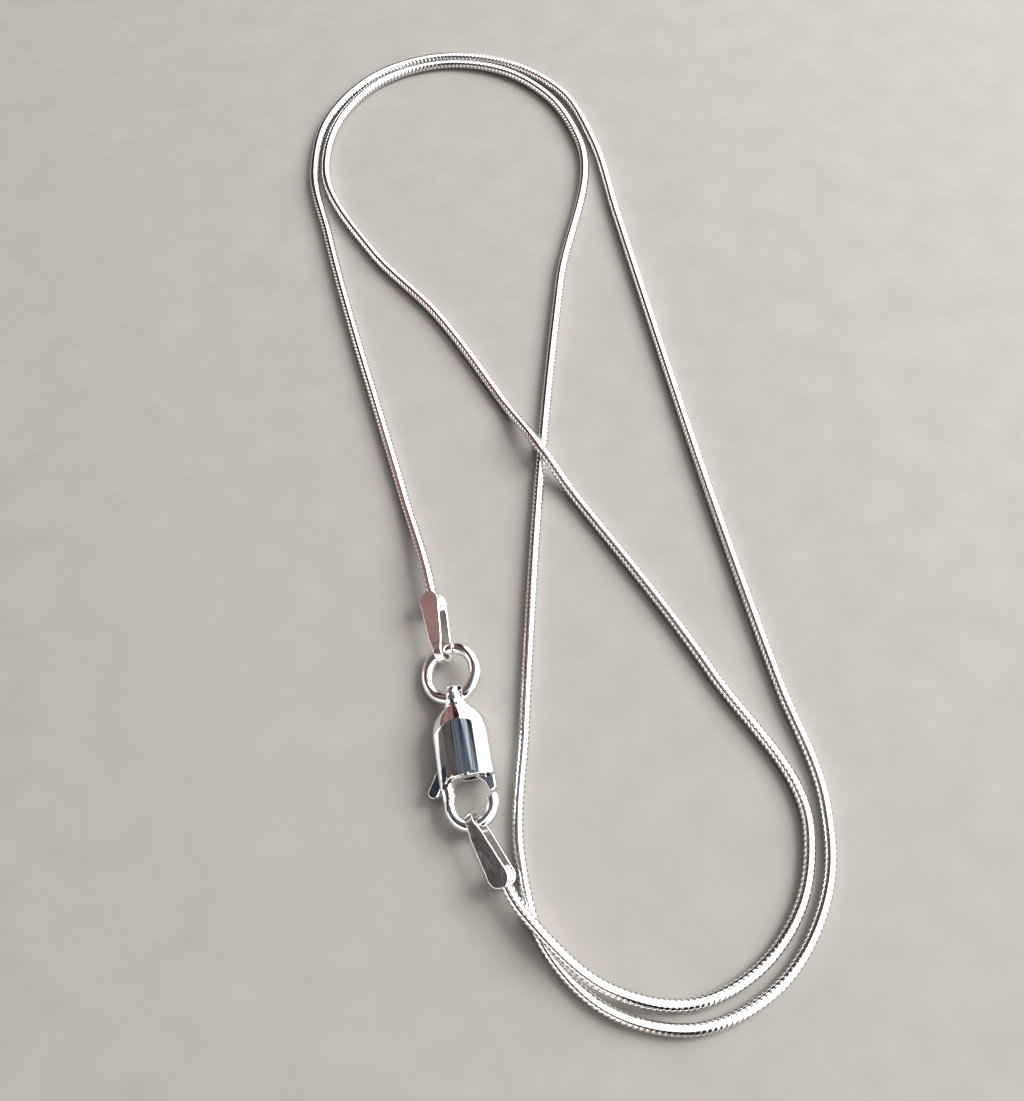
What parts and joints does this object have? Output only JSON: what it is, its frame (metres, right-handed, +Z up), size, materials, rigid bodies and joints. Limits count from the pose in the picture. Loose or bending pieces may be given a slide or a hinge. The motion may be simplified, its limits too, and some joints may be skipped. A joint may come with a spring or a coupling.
{
  "type": "snake chain necklace",
  "caption": "Thin round snake chain necklace in polished silver, lying folded double, with a lobster clasp, a jump ring and two folded end tabs.",
  "frame": {"origin": "on the floor, under the middle of the whole necklace as it lies", "axes": "+Z up from the floor, +Y along the folded necklace towards the end away from the clasp, +X to the right"},
  "size_m": [0.0388, 0.099, 0.0028],
  "materials": {
    "chain_silver": "polished fine links",
    "tab_silver": "polished strip",
    "ring_silver": "polished wire",
    "clasp_silver": "polished casting"
  },
  "bodies": {
    "root": {"chain_first": "chain_silver", "chain_second": "chain_silver", "end_tab_ring": "tab_silver", "end_tab_hook": "tab_silver", "jump_ring": "ring_silver", "clasp_body": "clasp_silver", "clasp_pin": "clasp_silver"},
    "lever": {"clasp_lever": "clasp_silver"}
  },
  "joints": [
    {"name": "lever_turn", "type": "hinge", "parent": "root", "child": "lever", "pos_m": [-0.00775, -0.02872, 0.00144], "axis": [0.156, 0.0112, -0.9877], "range_deg": [0, 20], "stiffness_Nm_per_rad": 0.004}
  ]
}
